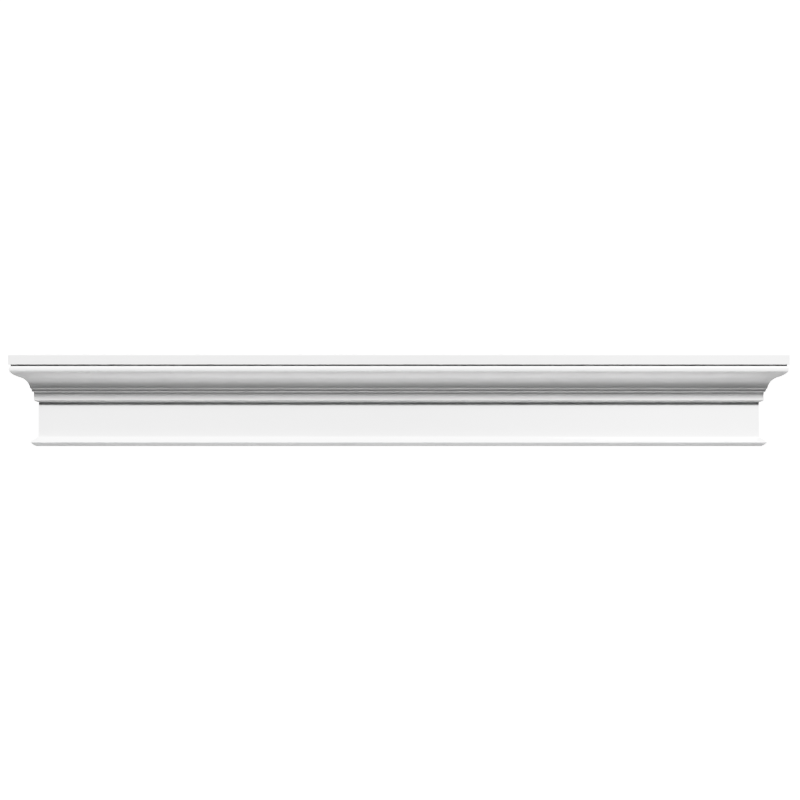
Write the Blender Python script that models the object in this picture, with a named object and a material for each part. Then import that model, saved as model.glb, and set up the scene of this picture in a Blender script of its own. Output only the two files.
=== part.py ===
"""Door crosshead: the moulded head piece that sits over a doorway, fixed flat to the wall.

Metres, +Z up. The back lies on y = 0 with the wall behind it, and the front faces -Y. The origin is the
centre of the back. The piece is moulded in one: from the bottom up it has a foot moulding, a plain frieze,
a bed mould, a fillet, an ogee, a quirk and a cap, and the same profile returns round both ends.

A profile point is (projection, height). The projection is measured outwards from the face of the frieze,
so the front and both ends follow one profile, and the height is measured up from the underside.
"""

import math

import bmesh
import bpy

# Frieze: the plain board that carries every other member
FRIEZE_LENGTH = 1.800
FRIEZE_THICKNESS = 0.025
FRIEZE_HEIGHT = 0.0865

# Foot moulding: a rounded underside, a nose and a sloping top
FOOT_FLAT_PROJECTION = 0.0050
FOOT_PROJECTION = 0.0198
FOOT_ROUND_HEIGHT = 0.0102
FOOT_NOSE_HEIGHT = 0.0032
FOOT_NOSE_EASING = 0.0015
FOOT_SLOPE_HEIGHT = 0.0104
FOOT_SLOPE_SAG = 0.0010

# Bed mould: a rounded underside below a plain upright face
BED_FLAT_PROJECTION = 0.0025
BED_PROJECTION = 0.0118
BED_ROUND_HEIGHT = 0.0042
BED_FACE_HEIGHT = 0.0197

# Fillet: a narrow upright step with a rounded lower edge
FILLET_PROJECTION = 0.0177
FILLET_ROUND_HEIGHT = 0.0030
FILLET_FACE_HEIGHT = 0.0047

# Ogee: a hollow that turns into a full crown
OGEE_FOOT_PROJECTION = 0.0212
OGEE_FOOT_ROUND_HEIGHT = 0.0032
OGEE_HOLLOW_HEIGHT = 0.0266
OGEE_HOLLOW_LEAN = 0.0048
OGEE_TURN_PROJECTION = 0.0465
OGEE_TURN_SLOPE = 0.305
OGEE_CROWN_PROJECTION = 0.0735
OGEE_CROWN_HEIGHT = 0.0195
OGEE_SHOULDER_HEIGHT = 0.0086

# Quirk: the narrow groove that parts the ogee from the cap
QUIRK_PROJECTION = 0.0695
QUIRK_HEIGHT = 0.0038

# Cap: the square-edged slab on top, with both arrises eased
CAP_PROJECTION = 0.0755
CAP_HEIGHT = 0.0244
CAP_EASING = 0.0010

# How far a level shelf rises over its width, so that the piece leaves its mould
MOULD_DRAFT = 0.0003

# How full a rounded edge is: 0 is a straight chamfer and 1 draws it right out to the square corner
FOOT_FULLNESS = 0.44
EDGE_FULLNESS = 0.35
SHOULDER_FULLNESS = 0.80

CURVE_STEPS = 8
EDGE_STEPS = 4
SMOOTH_ANGLE = math.radians(35)

PRIMED_WHITE = (0.86, 0.86, 0.86, 1.0)
PRIMER_ROUGHNESS = 0.5


def bend(start, corner, end, steps):
    """Points of a curve that leaves start towards corner and arrives at end, without start itself."""
    points = []
    for step in range(1, steps + 1):
        t = step / steps
        near, middle, far = (1 - t) ** 2, 2 * t * (1 - t), t ** 2
        points.append((near * start[0] + middle * corner[0] + far * end[0],
                       near * start[1] + middle * corner[1] + far * end[1]))
    return points


def swell(start, square, end, fullness, steps):
    """A rounded edge between start and end that bulges towards the square corner between them."""
    corner = tuple((1 - fullness) * (a + b) / 2 + fullness * c for a, b, c in zip(start, end, square))
    return bend(start, corner, end, steps)


def foot_moulding():
    """From the flat underside, out round the nose and up the slope to the frieze."""
    underside = (FOOT_FLAT_PROJECTION, 0.0)
    nose_low = (FOOT_PROJECTION, FOOT_ROUND_HEIGHT)
    nose_high = (FOOT_PROJECTION - FOOT_NOSE_EASING, FOOT_ROUND_HEIGHT + FOOT_NOSE_HEIGHT)
    slope_top = (0.0, nose_high[1] + FOOT_SLOPE_HEIGHT)
    points = [underside]
    points += swell(underside, (FOOT_PROJECTION, 0.0), nose_low, FOOT_FULLNESS, CURVE_STEPS)
    points += swell(nose_low, (FOOT_PROJECTION, nose_high[1]), nose_high, EDGE_FULLNESS, EDGE_STEPS)
    sag = (nose_high[0] / 2, (nose_high[1] + slope_top[1]) / 2 - FOOT_SLOPE_SAG)
    return points + bend(nose_high, sag, slope_top, EDGE_STEPS)


def bed_mould(base):
    """From the top of the frieze out under the bed mould and up its face."""
    shelf = (BED_FLAT_PROJECTION, base + MOULD_DRAFT)
    face_low = (BED_PROJECTION, shelf[1] + BED_ROUND_HEIGHT)
    face_high = (BED_PROJECTION, face_low[1] + BED_FACE_HEIGHT)
    rounding = swell(shelf, (BED_PROJECTION, shelf[1]), face_low, EDGE_FULLNESS, CURVE_STEPS)
    return [(0.0, base), shelf] + rounding + [face_high]


def fillet(base):
    """The step between the bed mould and the ogee."""
    face_low = (FILLET_PROJECTION, base + FILLET_ROUND_HEIGHT)
    face_high = (FILLET_PROJECTION, face_low[1] + FILLET_FACE_HEIGHT)
    edge = swell((BED_PROJECTION, base), (FILLET_PROJECTION, base), face_low, EDGE_FULLNESS, EDGE_STEPS)
    return edge + [face_high]


def ogee(base):
    """The hollow from its rounded foot to the turn, the crown above it, and the shoulder over the crown."""
    foot = (OGEE_FOOT_PROJECTION, base + OGEE_FOOT_ROUND_HEIGHT)
    turn = (OGEE_TURN_PROJECTION, foot[1] + OGEE_HOLLOW_HEIGHT)
    crown = (OGEE_CROWN_PROJECTION, turn[1] + OGEE_CROWN_HEIGHT)
    shoulder = (QUIRK_PROJECTION, crown[1] + OGEE_SHOULDER_HEIGHT)
    hollow_reach = OGEE_FOOT_PROJECTION + OGEE_HOLLOW_LEAN
    hollow_corner = (hollow_reach, turn[1] - OGEE_TURN_SLOPE * (OGEE_TURN_PROJECTION - hollow_reach))
    crown_rise = OGEE_TURN_SLOPE * (OGEE_CROWN_PROJECTION - OGEE_TURN_PROJECTION)
    crown_corner = (OGEE_CROWN_PROJECTION, turn[1] + crown_rise)
    points = swell((FILLET_PROJECTION, base), (OGEE_FOOT_PROJECTION, base), foot, EDGE_FULLNESS, EDGE_STEPS)
    points += bend(foot, hollow_corner, turn, CURVE_STEPS)
    points += bend(turn, crown_corner, crown, CURVE_STEPS)
    points += swell(crown, (OGEE_CROWN_PROJECTION, shoulder[1]), shoulder, SHOULDER_FULLNESS, EDGE_STEPS)
    return points


def quirk_and_cap(base):
    """Up the back of the quirk, out under the cap, up its face and in over its top edge."""
    quirk_top = (QUIRK_PROJECTION, base + QUIRK_HEIGHT)
    inner = CAP_PROJECTION - CAP_EASING
    cap_base = quirk_top[1] + MOULD_DRAFT
    cap_top = cap_base + CAP_HEIGHT
    low = swell((inner, cap_base), (CAP_PROJECTION, cap_base), (CAP_PROJECTION, cap_base + CAP_EASING),
                EDGE_FULLNESS, EDGE_STEPS)
    high = swell((CAP_PROJECTION, cap_top - CAP_EASING), (CAP_PROJECTION, cap_top), (inner, cap_top),
                 EDGE_FULLNESS, EDGE_STEPS)
    return [quirk_top, (inner, cap_base)] + low + [(CAP_PROJECTION, cap_top - CAP_EASING)] + high


def moulding_profile():
    """The whole profile from the underside to the top, each member standing on the one below it."""
    points = foot_moulding()
    points += bed_mould(points[-1][1] + FRIEZE_HEIGHT)
    points += fillet(points[-1][1])
    points += ogee(points[-1][1])
    points += quirk_and_cap(points[-1][1])
    return points


def outline(projection, height):
    """The four corners of a level slice: the back edge stays on the wall, the other sides move out."""
    half = FRIEZE_LENGTH / 2 + projection
    front = -(FRIEZE_THICKNESS + projection)
    return [(-half, 0.0, height), (-half, front, height), (half, front, height), (half, 0.0, height)]


def primed_white():
    material = bpy.data.materials.new("primed_white")
    material.use_nodes = True
    shader = material.node_tree.nodes["Principled BSDF"]
    shader.inputs["Base Color"].default_value = PRIMED_WHITE
    shader.inputs["Roughness"].default_value = PRIMER_ROUGHNESS
    shader.inputs["Metallic"].default_value = 0.0
    return material


def crosshead():
    """The slices are stacked and bridged, so the profile meets itself in a mitre at each corner."""
    profile = moulding_profile()
    middle = profile[-1][1] / 2
    body = bmesh.new()
    slices = []
    for projection, height in profile:
        corners = [body.verts.new(corner) for corner in outline(projection, height - middle)]
        slices.append([body.edges.new((corners[i - 1], corners[i])) for i in range(len(corners))])
    for lower, upper in zip(slices, slices[1:]):
        bmesh.ops.bridge_loops(body, edges=lower + upper)
    bmesh.ops.holes_fill(body, edges=slices[0] + slices[-1])
    bmesh.ops.recalc_face_normals(body, faces=body.faces)
    mesh = bpy.data.meshes.new("crosshead")
    body.to_mesh(mesh)
    body.free()
    mesh.shade_smooth()
    mesh.set_sharp_from_angle(angle=SMOOTH_ANGLE)
    mesh.materials.append(primed_white())
    piece = bpy.data.objects.new("crosshead", mesh)
    bpy.context.scene.collection.objects.link(piece)
    return piece


def main():
    for old in list(bpy.data.objects):
        bpy.data.objects.remove(old, do_unlink=True)
    crosshead()


if __name__ == "__main__":
    main()
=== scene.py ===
"""The finished look of a moulded door crosshead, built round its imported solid.

Metres, +Z up. The flat back lies on y = 0 and the front faces -Y. One operator makes the moulding and one
the studio, and main runs them in order. A profile point is (projection, height): how far it stands out
from the face of the frieze, and how high it is above the underside.
"""

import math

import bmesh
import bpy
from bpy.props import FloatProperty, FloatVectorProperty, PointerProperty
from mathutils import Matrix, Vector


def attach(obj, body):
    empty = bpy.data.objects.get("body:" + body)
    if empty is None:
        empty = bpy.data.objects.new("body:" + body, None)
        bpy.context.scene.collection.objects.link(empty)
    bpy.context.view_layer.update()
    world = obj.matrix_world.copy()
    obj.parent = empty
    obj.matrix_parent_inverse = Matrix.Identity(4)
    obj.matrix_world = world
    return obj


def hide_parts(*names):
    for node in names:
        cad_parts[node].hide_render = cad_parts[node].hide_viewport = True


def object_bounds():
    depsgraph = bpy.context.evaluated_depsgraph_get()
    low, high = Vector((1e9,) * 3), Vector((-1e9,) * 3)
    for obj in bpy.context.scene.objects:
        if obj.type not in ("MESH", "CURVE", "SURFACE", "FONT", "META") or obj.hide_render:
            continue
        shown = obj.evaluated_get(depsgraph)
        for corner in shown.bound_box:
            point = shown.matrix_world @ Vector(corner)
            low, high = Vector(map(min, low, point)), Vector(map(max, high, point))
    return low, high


bl_info = {
    "name": "Door Crosshead",
    "version": (1, 0, 0),
    "blender": (4, 5, 0),
    "location": "3D View > Sidebar > Crosshead",
    "description": "Makes a primed door crosshead with eased arrises, and a pale studio to show it in",
    "category": "Object",
}

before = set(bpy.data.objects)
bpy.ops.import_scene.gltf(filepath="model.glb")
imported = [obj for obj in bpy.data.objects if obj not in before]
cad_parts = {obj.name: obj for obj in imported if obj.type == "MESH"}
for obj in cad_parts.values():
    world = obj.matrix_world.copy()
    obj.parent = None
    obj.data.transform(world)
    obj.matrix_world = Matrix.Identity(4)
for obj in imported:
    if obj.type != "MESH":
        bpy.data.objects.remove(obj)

CAD_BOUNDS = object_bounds()

# How many points draw a curve, a small rounding, an easing and the length of the moulding
CURVE_STEPS = 20
EDGE_STEPS = 8
EASING_STEPS = 5
LENGTH_DIVISIONS = 24

# A corner that turns by more than CORNER_TURN is eased, within this share of the run to the next corner
CORNER_TURN = math.radians(25)
EASING_SHARE = 0.45

# A straight run is long when it measures this many times the strip held flat at each of its ends
LONG_RUN = 4

# An edge that turns by more than this is shaded sharp
SHARP_TURN = math.radians(40)

# Heights are rounded to a tenth of a micrometre, so that the moulding keeps to the CAD box
HEIGHT_DIGITS = 7

# The order of the materials on the moulding
PRIMER_SLOT, BACK_SLOT = 0, 1

# How far the primer's roughness swings to either side, and the even roughness of the other surfaces
PRIMER_SHEEN_SWING = 0.04
BACK_ROUGHNESS = 0.75
FLOOR_ROUGHNESS = 0.9

# The film-like response to light: the strongest light it shows, how softly it bends, and its points
RESPONSE_REACH = 1.6
RESPONSE_SOFTNESS = 0.42
RESPONSE_STEPS = 14

# The surround is a little stronger than that, so that it stays pure white behind the edges
SURROUND_STRENGTH = 1.1 * RESPONSE_REACH

# The picture's width in pixels, the lens and sensor in millimetres, and the aim in pixels off centre
PICTURE_WIDTH = 800
LENS = 1200.0
SENSOR_WIDTH = 36.0
AIM_RIGHT, AIM_UP = 1.2, 0.55

# The soft panels: the power's name in the studio, degrees above level, distance, width and height
PANELS = (
    ("under", -88.0, 1.6, 3.4, 0.6),
    ("under_front", -66.0, 1.6, 2.6, 0.5),
    ("top", 80.0, 3.0, 2.0, 0.8),
)

# The spot on the right end: what it is aimed at, its distance, its radius, and its cone in degrees
SPOT_AIM = Vector((1.0, 0.0, 0.0))
SPOT_DISTANCE = 3.0
SPOT_RADIUS = 0.3
SPOT_CONE = 32.0

# The low lights on the ends and the back: degrees above level, swing from straight ahead, and spread
END_FILL = (5.0, 100.0, 25.0)
BACK_FILL = (10.0, 170.0, 20.0)

# How far the floor runs each way, and how much darker its patches are
FLOOR_REACH = 40.0
FLOOR_SHADE = 0.98


def size(name, description, default):
    return FloatProperty(name=name, description=description, default=default, min=0.0,
                         unit="LENGTH", precision=4)


def share(name, description, default):
    return FloatProperty(name=name, description=description, default=default, min=0.0, max=1.0,
                         subtype="FACTOR")


def colour(name, description, default):
    return FloatVectorProperty(name=name, description=description, default=default, min=0.0, max=1.0,
                               size=3, subtype="COLOR")


def power(name, description, default):
    return FloatProperty(name=name, description=description, default=default, min=0.0, unit="POWER")


def strength(name, description, default):
    return FloatProperty(name=name, description=description, default=default, min=0.0)


def degrees(name, description, default):
    return FloatProperty(name=name, description=description, default=default, min=-90.0, max=90.0)


class CrossheadProfile(bpy.types.PropertyGroup):
    """Sizes of the moulding, member by member from the bottom up"""

    frieze_length: size("Frieze length", "Length of the plain board between its ends", 1.800)
    frieze_thickness: size("Frieze thickness", "From the wall to the face of the frieze", 0.025)
    frieze_height: size("Frieze height", "Plain face between the foot and the bed mould", 0.0865)
    foot_flat: size("Foot flat", "How far the flat underside runs past the frieze", 0.0050)
    foot_projection: size("Foot projection", "How far the foot's nose stands out", 0.0198)
    foot_round: size("Foot rounding", "Height of the rounded underside", 0.0102)
    foot_nose: size("Foot nose", "Height of the nose above the rounding", 0.0032)
    foot_nose_easing: size("Foot nose easing", "How far the nose draws in over its height", 0.0015)
    foot_slope: size("Foot slope", "Height of the sloping top", 0.0104)
    foot_sag: size("Foot slope sag", "How far the slope hollows", 0.0010)
    bed_flat: size("Bed flat", "Level shelf under the bed mould", 0.0025)
    bed_projection: size("Bed projection", "How far the bed mould stands out", 0.0118)
    bed_round: size("Bed rounding", "Height of its rounded underside", 0.0042)
    bed_face: size("Bed face", "Height of its upright face", 0.0197)
    fillet_projection: size("Fillet projection", "How far the fillet stands out", 0.0177)
    fillet_round: size("Fillet rounding", "Height of its rounded lower edge", 0.0030)
    fillet_face: size("Fillet face", "Height of its upright face", 0.0047)
    ogee_foot: size("Ogee foot projection", "How far the ogee's foot stands out", 0.0212)
    ogee_foot_round: size("Ogee foot rounding", "Height of the foot's rounded edge", 0.0032)
    ogee_hollow: size("Ogee hollow", "Height of the hollow, up to the turn", 0.0266)
    ogee_lean: size("Ogee lean", "How far the hollow leans out before it turns", 0.0048)
    ogee_turn: size("Ogee turn projection", "How far out the hollow meets the crown", 0.0465)
    ogee_slope: share("Ogee slope", "Rise for each unit outwards where the ogee turns", 0.305)
    ogee_crown: size("Ogee crown projection", "How far the crown stands out", 0.0735)
    ogee_crown_height: size("Ogee crown height", "From the turn to the crown's widest line", 0.0195)
    ogee_shoulder: size("Ogee shoulder", "From the crown's widest line to the quirk", 0.0086)
    quirk_projection: size("Quirk projection", "How far the back of the groove stands out", 0.0695)
    quirk_height: size("Quirk height", "Height of the groove under the cap", 0.0038)
    cap_projection: size("Cap projection", "How far the cap stands out", 0.0755)
    cap_height: size("Cap height", "Thickness of the cap", 0.0244)
    draft: size("Mould draft", "Rise of a level shelf over its width", 0.0003)
    foot_fullness: share("Foot fullness", "How full the foot's rounding is", 0.44)
    edge_fullness: share("Edge fullness", "How full the small roundings are", 0.35)
    shoulder_fullness: share("Shoulder fullness", "How full the ogee's shoulder is", 0.80)
    easing: size("Easing", "How far each arris and inner corner is rounded off", 0.0008)


class CrossheadFinish(bpy.types.PropertyGroup):
    """Colours and surface of the primer and of the moulded back"""

    primer: colour("Primer", "Colour of the factory primer", (0.80, 0.80, 0.80))
    primer_thin: colour("Thin primer", "Colour where the primer lies thinner", (0.785, 0.785, 0.785))
    primer_sheen: share("Primer roughness", "Roughness of the satin primer", 0.42)
    back: colour("Moulded back", "Colour of the unprimed foam skin", (0.77, 0.76, 0.73))
    back_shade: colour("Back shade", "Colour of the skin's darker patches", (0.71, 0.70, 0.66))


class CrossheadStudio(bpy.types.PropertyGroup):
    """Light and framing"""

    key: strength("Key", "Strength of the high front light", 5.05)
    key_rise: degrees("Key height", "Degrees that the key stands above level", 46.0)
    key_swing: degrees("Key swing", "Degrees that the key stands to the right of straight ahead", 8.0)
    key_spread: degrees("Key spread", "Degrees that the key covers, seen from the crosshead", 14.0)
    side: power("Side light", "Soft spot beside the key that lifts the right end", 100.0)
    under: power("Under light", "Panel straight below, which lights the soffits", 26.0)
    under_front: power("Front under light", "Panel below and in front", 4.0)
    top: power("Top light", "Panel almost overhead", 20.0)
    ends: strength("End fill", "Strength of the low light on each returned end", 2.0)
    back: strength("Back fill", "Strength of the low light on the flat back", 2.5)
    floor: colour("Floor", "Colour of the floor", (0.46, 0.46, 0.455))
    knee: share("Highlight knee", "Brightness above which highlights bend over", 0.80)
    view_width: size("View width", "Width of the view at the frieze", 1.999)


def bend(start, corner, end, steps):
    """Points of a curve that leaves start towards corner and arrives at end, without start itself."""
    start, corner, end = Vector(start), Vector(corner), Vector(end)
    turns = [step / steps for step in range(1, steps + 1)]
    return [start * (1 - t) ** 2 + corner * (2 * t * (1 - t)) + end * t ** 2 for t in turns]


def swell(start, square, end, fullness, steps):
    """A rounded edge between start and end that bulges towards the square corner between them."""
    start, square, end = Vector(start), Vector(square), Vector(end)
    corner = (start + end) * ((1 - fullness) / 2) + square * fullness
    return bend(start, corner, end, steps)


def foot_moulding(sizes):
    """From the flat underside, out round the nose and up the slope to the frieze."""
    out = sizes.foot_projection
    underside = Vector((sizes.foot_flat, 0.0))
    nose_low = Vector((out, sizes.foot_round))
    nose_high = Vector((out - sizes.foot_nose_easing, sizes.foot_round + sizes.foot_nose))
    slope_top = Vector((0.0, nose_high.y + sizes.foot_slope))
    sag = (nose_high + slope_top) / 2 - Vector((0.0, sizes.foot_sag))
    points = [underside]
    points += swell(underside, (out, 0.0), nose_low, sizes.foot_fullness, CURVE_STEPS)
    points += swell(nose_low, (out, nose_high.y), nose_high, sizes.edge_fullness, EDGE_STEPS)
    return points + bend(nose_high, sag, slope_top, EDGE_STEPS)


def bed_mould(sizes, base):
    """From the top of the frieze out under the bed mould and up its face."""
    out = sizes.bed_projection
    shelf = Vector((sizes.bed_flat, base + sizes.draft))
    face_low = Vector((out, shelf.y + sizes.bed_round))
    face_high = Vector((out, face_low.y + sizes.bed_face))
    rounding = swell(shelf, (out, shelf.y), face_low, sizes.edge_fullness, CURVE_STEPS)
    return [Vector((0.0, base)), shelf] + rounding + [face_high]


def fillet(sizes, base):
    """The step between the bed mould and the ogee."""
    out = sizes.fillet_projection
    face_low = Vector((out, base + sizes.fillet_round))
    face_high = Vector((out, face_low.y + sizes.fillet_face))
    start, square = (sizes.bed_projection, base), (out, base)
    return swell(start, square, face_low, sizes.edge_fullness, EDGE_STEPS) + [face_high]


def ogee(sizes, base):
    """The hollow from its rounded foot to the turn, the crown above it, and the shoulder on the crown."""
    start, foot_square = (sizes.fillet_projection, base), (sizes.ogee_foot, base)
    foot = Vector((sizes.ogee_foot, base + sizes.ogee_foot_round))
    turn = Vector((sizes.ogee_turn, foot.y + sizes.ogee_hollow))
    crown = Vector((sizes.ogee_crown, turn.y + sizes.ogee_crown_height))
    shoulder = Vector((sizes.quirk_projection, crown.y + sizes.ogee_shoulder))
    leant = sizes.ogee_foot + sizes.ogee_lean
    hollow_corner = (leant, turn.y - sizes.ogee_slope * (sizes.ogee_turn - leant))
    crown_corner = (sizes.ogee_crown, turn.y + sizes.ogee_slope * (sizes.ogee_crown - sizes.ogee_turn))
    shoulder_square = (sizes.ogee_crown, shoulder.y)
    points = swell(start, foot_square, foot, sizes.edge_fullness, EDGE_STEPS)
    points += bend(foot, hollow_corner, turn, CURVE_STEPS)
    points += bend(turn, crown_corner, crown, CURVE_STEPS)
    return points + swell(crown, shoulder_square, shoulder, sizes.shoulder_fullness, EDGE_STEPS)


def quirk_and_cap(sizes, base):
    """Up the back of the quirk, out under the cap, up its face and in at the top."""
    quirk_top = base + sizes.quirk_height
    cap_base = quirk_top + sizes.draft
    cap_top = cap_base + sizes.cap_height
    return [Vector(point) for point in (
        (sizes.quirk_projection, quirk_top),
        (sizes.cap_projection, cap_base),
        (sizes.cap_projection, cap_top - sizes.easing),
        (sizes.cap_projection - sizes.easing, cap_top),
    )]


def moulding_profile(sizes):
    """The whole profile from the underside to the top, each member standing on the one below it."""
    points = foot_moulding(sizes)
    points += bed_mould(sizes, points[-1].y + sizes.frieze_height)
    points += fillet(sizes, points[-1].y)
    points += ogee(sizes, points[-1].y)
    points += quirk_and_cap(sizes, points[-1].y)
    return points


def point_at(points, runs, run):
    """The point that lies run metres along an open outline, given the run up to each of its points."""
    for i in range(1, len(points)):
        if runs[i] >= run:
            return points[i - 1].lerp(points[i], (run - runs[i - 1]) / (runs[i] - runs[i - 1]))
    return points[-1]


def ease(points, reach):
    """Rounds off each sharp corner of an open outline, from reach before it to reach after it."""
    runs = [0.0]
    for a, b in zip(points, points[1:]):
        runs.append(runs[-1] + (b - a).length)
    corners = []
    for i in range(1, len(points) - 1):
        if (points[i] - points[i - 1]).angle(points[i + 1] - points[i]) > CORNER_TURN:
            corners.append(i)
    stops = [0.0] + [runs[i] for i in corners] + [runs[-1]]
    eased, done = [points[0]], 0.0
    for before, i, after in zip(stops, corners, stops[2:]):
        here = runs[i]
        room = min(reach, min(here - before, after - here) * EASING_SHARE)
        start = point_at(points, runs, here - room)
        end = point_at(points, runs, here + room)
        eased += [point for point, run in zip(points, runs) if done < run < here - room]
        eased += [start] + bend(start, points[i], end, EASING_STEPS)
        done = here + room
    return eased + [point for point, run in zip(points, runs) if run > done]


def hold(points, reach):
    """Adds a point just inside both ends of each long straight run, so that it shades flat."""
    held = [points[0]]
    for a, b in zip(points, points[1:]):
        gap = (b - a).length
        if gap > LONG_RUN * reach:
            held += [a.lerp(b, reach / gap), a.lerp(b, 1 - reach / gap)]
        held.append(b)
    return held


def plan_outline(sizes, projection):
    """One level slice seen from above: from the back up the left end, along the front and back again."""
    half = sizes.frieze_length / 2 + projection
    front = -(sizes.frieze_thickness + projection)
    corners = [Vector(c) for c in ((-half, 0.0), (-half, front), (half, front), (half, 0.0))]
    outline = hold(ease(corners, sizes.easing), 2 * sizes.easing)
    longest = max(range(1, len(outline)), key=lambda i: (outline[i] - outline[i - 1]).length)
    a, b = outline[longest - 1], outline[longest]
    between = [a.lerp(b, n / LENGTH_DIVISIONS) for n in range(1, LENGTH_DIVISIONS)]
    return outline[:longest] + between + outline[longest:]


def build_mesh(sizes):
    """Stacks the level slices, and closes the flat back, the underside and the top."""
    profile = hold(ease(moulding_profile(sizes), sizes.easing), sizes.easing)
    middle = profile[-1].y / 2
    body = bmesh.new()
    slices = []
    for projection, height in profile:
        level = round(height - middle, HEIGHT_DIGITS)
        slices.append([body.verts.new((x, y, level)) for x, y in plan_outline(sizes, projection)])
    count = len(slices[0])
    for lower, upper in zip(slices, slices[1:]):
        for i in range(count):
            j = (i + 1) % count
            face = body.faces.new((lower[i], lower[j], upper[j], upper[i]))
            face.material_index = BACK_SLOT if j == 0 else PRIMER_SLOT
    body.faces.new(list(reversed(slices[0])))
    body.faces.new(slices[-1])
    bmesh.ops.recalc_face_normals(body, faces=body.faces)
    mesh = bpy.data.meshes.new("crosshead_moulding")
    body.to_mesh(mesh)
    body.free()
    mesh.shade_smooth()
    mesh.set_sharp_from_angle(angle=SHARP_TURN)
    return mesh


class Nodes:
    """A material, with a short way to add and join its shader nodes."""

    def __init__(self, name):
        self.material = bpy.data.materials.new(name)
        self.material.use_nodes = True
        self.tree = self.material.node_tree
        self.shader = self.tree.nodes["Principled BSDF"]
        self.place = self.add("ShaderNodeTexCoord").outputs["Object"]

    def add(self, kind, **values):
        """A new node with some of its sockets set. An underscore stands for a space in a socket's name."""
        node = self.tree.nodes.new(kind)
        for key, value in values.items():
            node.inputs[key.replace("_", " ")].default_value = value
        return node

    def join(self, source, target):
        self.tree.links.new(source, target)

    def feed(self, socket, source):
        """Joins a source to one of the shader's own sockets."""
        self.join(source, self.shader.inputs[socket])

    def noise(self, scale, detail=2.0, roughness=0.5):
        node = self.add("ShaderNodeTexNoise", Scale=scale, Detail=detail, Roughness=roughness)
        self.join(self.place, node.inputs["Vector"])
        return node.outputs["Fac"]

    def remap(self, source, low=0.0, high=1.0, start=0.3, end=0.7):
        """Stretches a source that runs from start to end so that it runs from low to high."""
        node = self.add("ShaderNodeMapRange", From_Min=start, From_Max=end, To_Min=low, To_Max=high)
        self.join(source, node.inputs["Value"])
        return node.outputs["Result"]

    def mix(self, fac, first, second):
        node = self.tree.nodes.new("ShaderNodeMix")
        node.data_type = "RGBA"
        node.inputs["A"].default_value = (*first, 1.0)
        node.inputs["B"].default_value = (*second, 1.0)
        self.join(fac, node.inputs["Factor"])
        return node.outputs["Result"]

    def bump(self, height, distance, strength, under=None):
        """Relief of a height in metres, laid over an earlier relief where one is given."""
        node = self.add("ShaderNodeBump", Distance=distance, Strength=strength)
        self.join(height, node.inputs["Height"])
        if under is not None:
            self.join(under, node.inputs["Normal"])
        return node.outputs["Normal"]


def primed_white(finish):
    """Factory primer: near white, satin, with a sprayed orange peel and slightly uneven film."""
    paint = Nodes("primed_white")
    film = paint.remap(paint.noise(scale=3.5, detail=4.0))
    paint.feed("Base Color", paint.mix(film, finish.primer, finish.primer_thin))
    smooth, dull = finish.primer_sheen - PRIMER_SHEEN_SWING, finish.primer_sheen + PRIMER_SHEEN_SWING
    paint.feed("Roughness", paint.remap(paint.noise(scale=40.0, detail=3.0), smooth, dull))
    peel = paint.bump(paint.noise(scale=420.0, detail=1.5), distance=0.00004, strength=0.4)
    grain = paint.noise(scale=2200.0, detail=2.0)
    paint.feed("Normal", paint.bump(grain, distance=0.00001, strength=0.4, under=peel))
    return paint.material


def moulded_back(finish):
    """The foam's own skin on the hidden back: duller, a little darker, with fine pores."""
    skin = Nodes("moulded_back")
    patches = skin.remap(skin.noise(scale=9.0, detail=5.0, roughness=0.6))
    skin.feed("Base Color", skin.mix(patches, finish.back, finish.back_shade))
    skin.shader.inputs["Roughness"].default_value = BACK_ROUGHNESS
    cells = skin.add("ShaderNodeTexVoronoi", Scale=330.0)
    skin.join(skin.place, cells.inputs["Vector"])
    pores = skin.remap(cells.outputs["Distance"], start=0.08, end=0.3)
    pitted = skin.bump(pores, distance=0.00025, strength=0.6)
    waves = skin.noise(scale=70.0, detail=4.0)
    skin.feed("Normal", skin.bump(waves, distance=0.0006, strength=0.4, under=pitted))
    return skin.material


class CROSSHEAD_OT_moulding(bpy.types.Operator):
    """Makes the crosshead with eased arrises, its primer and its moulded back"""

    bl_idname = "crosshead.moulding"
    bl_label = "Moulding"
    bl_options = {"REGISTER", "UNDO"}

    def execute(self, context):
        scene = context.scene
        mesh = build_mesh(scene.crosshead_profile)
        mesh.materials.append(primed_white(scene.crosshead_finish))
        mesh.materials.append(moulded_back(scene.crosshead_finish))
        piece = bpy.data.objects.new("crosshead_moulding", mesh)
        scene.collection.objects.link(piece)
        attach(piece, "root")
        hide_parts("crosshead")
        return {"FINISHED"}


def direction(rise, swing):
    """The way from the crosshead to a light: rise above level, swing to the right of straight ahead."""
    rise, swing = math.radians(rise), math.radians(swing)
    level = Vector((math.sin(swing), -math.cos(swing), 0.0))
    return level * math.cos(rise) + Vector((0.0, 0.0, math.sin(rise)))


def hang(name, lamp, way, place=(0.0, 0.0, 0.0)):
    """Puts a lamp at its place, shining back along the way that leads to it."""
    holder = bpy.data.objects.new(name, lamp)
    holder.location = place
    holder.rotation_euler = way.to_track_quat("Z", "Y").to_euler()
    bpy.context.scene.collection.objects.link(holder)
    return holder


def far_light(name, strength, rise, swing, spread):
    """A light so far off that its rays run parallel. Its rise, swing and spread are in degrees."""
    lamp = bpy.data.lights.new(name, "SUN")
    lamp.energy = strength
    lamp.angle = math.radians(spread)
    hang(name, lamp, direction(rise, swing))


def soft_spot(name, watts, rise, swing):
    """A round light on the right end, whose beam fades right from its middle to its edge."""
    lamp = bpy.data.lights.new(name, "SPOT")
    lamp.energy = watts
    lamp.spot_size = math.radians(SPOT_CONE)
    lamp.spot_blend = 1.0
    lamp.shadow_soft_size = SPOT_RADIUS
    way = direction(rise, swing)
    hang(name, lamp, way, SPOT_AIM + way * SPOT_DISTANCE)


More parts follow.
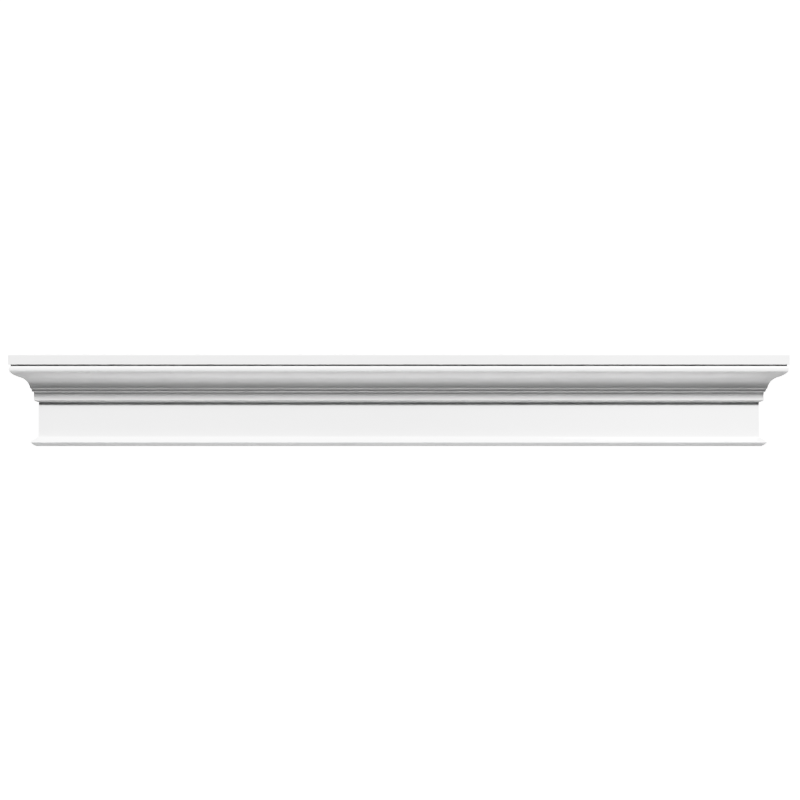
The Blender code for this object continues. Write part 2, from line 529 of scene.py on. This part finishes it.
def soft_panel(name, watts, rise, distance, width, height):
    """A flat light aimed at the middle from in front, above or below. It isn't seen itself."""
    lamp = bpy.data.lights.new(name, "AREA")
    lamp.shape = "RECTANGLE"
    lamp.size = width
    lamp.size_y = height
    lamp.energy = watts
    way = direction(rise, 0.0)
    hang(name, lamp, way, way * distance).visible_camera = False


def lights(studio):
    """A high key, a spot beside it, panels below and above, and low fills for the ends and the back."""
    far_light("key", studio.key, studio.key_rise, studio.key_swing, studio.key_spread)
    soft_spot("side_spot", studio.side, studio.key_rise, studio.key_swing)
    for name, rise, distance, width, height in PANELS:
        soft_panel(name + "_panel", getattr(studio, name), rise, distance, width, height)
    rise, swing, spread = END_FILL
    for side in (-1, 1):
        far_light("end_fill", studio.ends, rise, side * swing, spread)
    far_light("back_fill", studio.back, *BACK_FILL)


def pale_floor(studio):
    """A wide plane level with the underside. It takes shadows, and the panels below shine through it."""
    low = CAD_BOUNDS[0].z
    ways = ((-1, -1), (1, -1), (1, 1), (-1, 1))
    mesh = bpy.data.meshes.new("floor")
    mesh.from_pydata([(x * FLOOR_REACH, y * FLOOR_REACH, low) for x, y in ways], [], [(0, 1, 2, 3)])
    paint = Nodes("floor_paint")
    shade = [channel * FLOOR_SHADE for channel in studio.floor]
    patches = paint.remap(paint.noise(scale=0.6, detail=3.0))
    paint.feed("Base Color", paint.mix(patches, studio.floor, shade))
    paint.shader.inputs["Roughness"].default_value = FLOOR_ROUGHNESS
    mesh.materials.append(paint.material)
    floor = bpy.data.objects.new("floor", mesh)
    floor.visible_diffuse = False
    floor.visible_glossy = False
    floor.visible_shadow = False
    bpy.context.scene.collection.objects.link(floor)


def white_surround(scene):
    """A plain white world, seen behind everything and lighting nothing."""
    world = bpy.data.worlds.new("surround")
    world.use_nodes = True
    background = world.node_tree.nodes["Background"]
    background.inputs["Color"].default_value = (1.0, 1.0, 1.0, 1.0)
    background.inputs["Strength"].default_value = SURROUND_STRENGTH
    scene.world = world
    world.cycles_visibility.diffuse = False
    world.cycles_visibility.glossy = False


def film_response(settings, knee):
    """Tones run straight up to the knee, and strong light bends over towards white as on film."""
    settings.view_transform = "Standard"
    settings.use_curve_mapping = True
    mapping = settings.curve_mapping
    mapping.clip_max_x = RESPONSE_REACH
    curve = mapping.curves[3]  # the one that bends all three colours alike
    curve.points[-1].location = (RESPONSE_REACH, 1.0)
    for step in range(RESPONSE_STEPS):
        light = knee + (RESPONSE_REACH - knee) * step / RESPONSE_STEPS
        curve.points.new(light, 1 - (1 - knee) * math.exp((knee - light) / RESPONSE_SOFTNESS))
    for point in curve.points:
        point.handle_type = "VECTOR"
    mapping.update()


def long_camera(scene, studio):
    """Square to the front and at the floor's level, from so far away that the returns hardly spread."""
    data = bpy.data.cameras.new("camera")
    data.lens = LENS
    data.sensor_width = SENSOR_WIDTH
    distance = studio.view_width * data.lens / data.sensor_width
    data.clip_start, data.clip_end = 1.0, 2 * distance
    pixel = studio.view_width / PICTURE_WIDTH
    aim = Vector((AIM_RIGHT * pixel, -scene.crosshead_profile.frieze_thickness, AIM_UP * pixel))
    place = Vector((aim.x, aim.y - distance, CAD_BOUNDS[0].z))
    camera = bpy.data.objects.new("camera", data)
    camera.location = place
    camera.rotation_euler = (aim - place).to_track_quat("-Z", "Y").to_euler()
    scene.collection.objects.link(camera)
    scene.camera = camera


class CROSSHEAD_OT_studio(bpy.types.Operator):
    """Makes the camera, the lights, the floor and the white surround, and sets the response to light"""

    bl_idname = "crosshead.studio"
    bl_label = "Studio"
    bl_options = {"REGISTER", "UNDO"}

    def execute(self, context):
        scene = context.scene
        long_camera(scene, scene.crosshead_studio)
        lights(scene.crosshead_studio)
        pale_floor(scene.crosshead_studio)
        white_surround(scene)
        film_response(scene.view_settings, scene.crosshead_studio.knee)
        return {"FINISHED"}


class CROSSHEAD_PT_panel(bpy.types.Panel):
    """Sizes, finish and studio of the crosshead"""

    bl_label = "Crosshead"
    bl_space_type = "VIEW_3D"
    bl_region_type = "UI"
    bl_category = "Crosshead"

    def draw(self, context):
        scene = context.scene
        for group in (scene.crosshead_profile, scene.crosshead_finish, scene.crosshead_studio):
            box = self.layout.box()
            for name in group.__annotations__:
                box.prop(group, name)
        self.layout.operator(CROSSHEAD_OT_moulding.bl_idname)
        self.layout.operator(CROSSHEAD_OT_studio.bl_idname)


CLASSES = (
    CrossheadProfile,
    CrossheadFinish,
    CrossheadStudio,
    CROSSHEAD_OT_moulding,
    CROSSHEAD_OT_studio,
    CROSSHEAD_PT_panel,
)


def register():
    for cls in CLASSES:
        bpy.utils.register_class(cls)
    bpy.types.Scene.crosshead_profile = PointerProperty(type=CrossheadProfile)
    bpy.types.Scene.crosshead_finish = PointerProperty(type=CrossheadFinish)
    bpy.types.Scene.crosshead_studio = PointerProperty(type=CrossheadStudio)


def unregister():
    del bpy.types.Scene.crosshead_studio
    del bpy.types.Scene.crosshead_finish
    del bpy.types.Scene.crosshead_profile
    for cls in reversed(CLASSES):
        bpy.utils.unregister_class(cls)


def main():
    register()
    bpy.ops.crosshead.moulding()
    bpy.ops.crosshead.studio()


if __name__ == "__main__":
    main()
